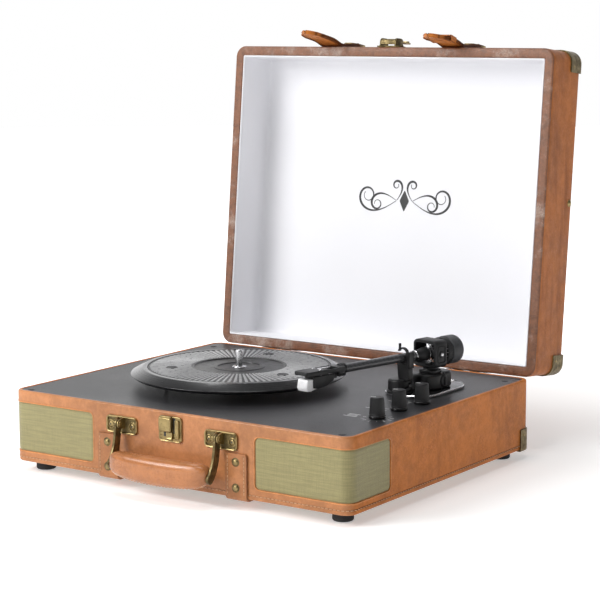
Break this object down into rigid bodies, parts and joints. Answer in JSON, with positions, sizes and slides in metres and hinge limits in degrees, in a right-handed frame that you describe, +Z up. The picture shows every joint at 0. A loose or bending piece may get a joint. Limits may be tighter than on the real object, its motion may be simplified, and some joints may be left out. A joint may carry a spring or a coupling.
{
  "type": "turntable record player",
  "caption": "Suitcase record player: leather-covered base and hinged lid, belt-driven platter, balanced tonearm, front speakers, knobs and a carrying handle.",
  "frame": {"origin": "under the middle of the player's bounding box, on the surface that it stands on, lid open", "axes": "+X to the player's right (tonearm side), +Y towards the hinges, +Z up"},
  "size_m": [0.4026, 0.4674, 0.4344],
  "materials": {
    "tan_leather": "tan, crinkled, semi-gloss",
    "board": "fibreboard",
    "black_vinyl": "matte embossed vinyl",
    "rubber": "matte",
    "grille_cloth": "woven, gold-olive",
    "steel": "bright",
    "motor_steel": "plated",
    "platter_metal": "dark, turned",
    "black_plastic": "moulded",
    "gloss_plastic": "black with a chromed edge",
    "arm_metal": "dark, woven pattern",
    "weight_metal": "dark grey paint",
    "white_plastic": "translucent white",
    "antique_brass": "aged bronze",
    "white_lining": "smooth white",
    "green_board": "laminate"
  },
  "bodies": {
    "player": {"base_bottom": "board", "base_frame": "tan_leather", "control_board": "green_board", "corner_base_left": "antique_brass", "corner_base_right": "antique_brass", "deck_plate": "black_vinyl", "drive_belt": "rubber", "foot_front_left": "rubber", "foot_front_right": "rubber", "foot_rear_left": "rubber", "foot_rear_right": "rubber", "handle_bracket_left": "antique_brass", "handle_bracket_right": "antique_brass", "hinge_base_left": "steel", "hinge_base_right": "steel", "latch_plate": "antique_brass", "lift_housing": "black_plastic", "motor": "motor_steel", "rear_panel": "black_plastic", "speaker_grille_left": "grille_cloth", "speaker_grille_right": "grille_cloth", "speaker_left": "motor_steel", "speaker_right": "motor_steel", "spindle": "steel", "strap_lower_left": "tan_leather", "strap_lower_right": "tan_leather", "tonearm_base": "gloss_plastic", "tonearm_housing": "black_plastic"},
    "platter": {"platter": "platter_metal", "slip_mat": "rubber"},
    "pulley": {"motor_pulley": "black_plastic"},
    "gimbal": {"gimbal_frame": "black_plastic"},
    "tonearm": {"arm_tube": "arm_metal", "headshell": "black_plastic", "cartridge": "black_plastic", "stylus": "white_plastic"},
    "weight_carrier": {"force_dial": "black_plastic"},
    "counterweight": {"counterweight": "weight_metal"},
    "rest_clip": {"rest_clip": "black_plastic"},
    "lift": {"lift_platform": "black_plastic"},
    "cue_lever": {"cue_lever": "black_plastic"},
    "knob_volume": {"knob_volume": "black_plastic"},
    "knob_mode": {"knob_mode": "black_plastic"},
    "knob_speed": {"knob_speed": "black_plastic"},
    "handle": {"handle_grip": "tan_leather", "handle_arm_left": "antique_brass", "handle_arm_right": "antique_brass"},
    "latch_lever": {"latch_lever": "antique_brass"},
    "lid": {"lid_shell": "tan_leather", "lid_lining": "white_lining", "lid_latch": "antique_brass", "strap_upper_left": "tan_leather", "strap_upper_right": "tan_leather", "corner_lid_front_left": "antique_brass", "corner_lid_front_right": "antique_brass", "corner_lid_rear_left": "antique_brass", "corner_lid_rear_right": "antique_brass", "hinge_lid_left": "steel", "hinge_lid_right": "steel"},
    "hasp": {"hasp": "antique_brass"}
  },
  "joints": [
    {"name": "lid_hinge", "type": "hinge", "parent": "player", "child": "lid", "pos_m": [0, 0.13451, 0.0774], "axis": [-1, 0, 0], "range_deg": [-95.7, 0]},
    {"name": "platter_spin", "type": "hinge", "parent": "player", "child": "platter", "pos_m": [-0.028, -0.05909, 0.0811], "axis": [0, 0, -1], "continuous": true},
    {"name": "pulley_spin", "type": "hinge", "parent": "player", "child": "pulley", "pos_m": [-0.08033, -0.11142, 0.0811], "axis": [0, 0, -1], "continuous": true},
    {"name": "arm_swing", "type": "hinge", "parent": "player", "child": "gimbal", "pos_m": [0.147, 0.02041, 0.1191], "axis": [0, 0, -1], "range_deg": [0, 36]},
    {"name": "arm_pitch", "type": "hinge", "parent": "gimbal", "child": "tonearm", "pos_m": [0.147, 0.02041, 0.1191], "axis": [-0.9796, 0.2011, 0], "range_deg": [-0.5, 5]},
    {"name": "weight_slide", "type": "slide", "parent": "tonearm", "child": "weight_carrier", "axis": [0.2011, 0.9796, 0], "range_m": [-0.0021, 0.0021]},
    {"name": "weight_turn", "type": "hinge", "parent": "weight_carrier", "child": "counterweight", "pos_m": [0.147, 0.02041, 0.1191], "axis": [0.2011, 0.9796, 0], "range_deg": [-360, 360]},
    {"name": "clip_hinge", "type": "hinge", "parent": "player", "child": "rest_clip", "pos_m": [0.14739, -0.01846, 0.1226], "axis": [0.2011, 0.9796, 0], "range_deg": [-22, 0]},
    {"name": "lift_slide", "type": "slide", "parent": "player", "child": "lift", "axis": [0, 0, 1], "range_m": [0, 0.0036]},
    {"name": "cue_turn", "type": "hinge", "parent": "player", "child": "cue_lever", "pos_m": [0.1456, -0.01409, 0.0912], "axis": [-1, 0, 0], "range_deg": [0, 32.3]},
    {"name": "volume_turn", "type": "hinge", "parent": "player", "child": "knob_volume", "pos_m": [0.174, -0.11959, 0.0811], "axis": [0, 0, -1], "range_deg": [0, 300]},
    {"name": "mode_turn", "type": "hinge", "parent": "player", "child": "knob_mode", "pos_m": [0.172, -0.07809, 0.0811], "axis": [0, 0, -1], "range_deg": [0, 60]},
    {"name": "speed_turn", "type": "hinge", "parent": "player", "child": "knob_speed", "pos_m": [0.174, -0.04009, 0.0811], "axis": [0, 0, -1], "range_deg": [0, 60]},
    {"name": "handle_hinge", "type": "hinge", "parent": "player", "child": "handle", "pos_m": [0, -0.21209, 0.065], "axis": [-1, 0, 0], "range_deg": [0, 95]},
    {"name": "latch_release", "type": "hinge", "parent": "player", "child": "latch_lever", "pos_m": [0, -0.20829, 0.0626], "axis": [-1, 0, 0], "range_deg": [0, 30]},
    {"name": "hasp_hinge", "type": "hinge", "parent": "lid", "child": "hasp", "pos_m": [0, 0.18616, 0.41966], "axis": [1, 0, 0], "range_deg": [0, 155]}
  ],
  "couplings": [
    {"joint": "pulley_spin", "follows": "platter_spin", "ratio": 8.4306},
    {"joint": "weight_slide", "follows": "weight_turn", "m_per_rad": 0.00031831},
    {"joint": "cue_turn", "follows": "lift_slide", "rad_per_m": 155.14}
  ]
}
